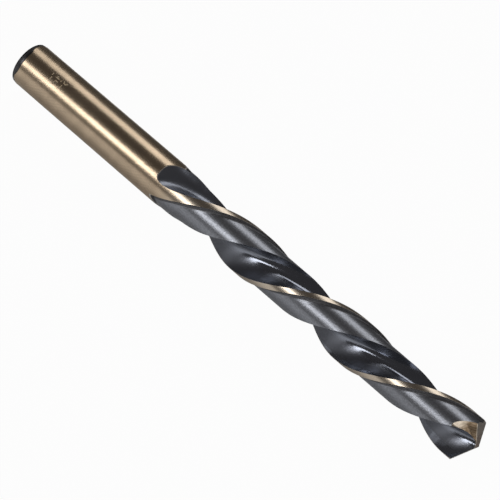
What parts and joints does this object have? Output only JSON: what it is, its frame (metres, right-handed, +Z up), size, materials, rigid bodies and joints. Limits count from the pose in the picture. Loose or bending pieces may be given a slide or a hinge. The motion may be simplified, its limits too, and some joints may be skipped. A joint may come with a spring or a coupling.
{
  "type": "twist drill bit",
  "caption": "Jobber-length twist drill bit with helical flutes, bronze ground margins and shank, black flutes and a split point.",
  "frame": {"origin": "centre of the shank's flat end face, on the drill's axis", "axes": "+X along the drill's axis from the shank to the tip, +Z up as the drill lies on a surface"},
  "size_m": [0.151, 0.012, 0.012],
  "materials": {
    "high_speed_steel": "ground shank and margins with a bronze tint, black oxide in the flutes"
  },
  "bodies": {
    "root": {"drill_bit": "high_speed_steel"}
  },
  "joints": []
}
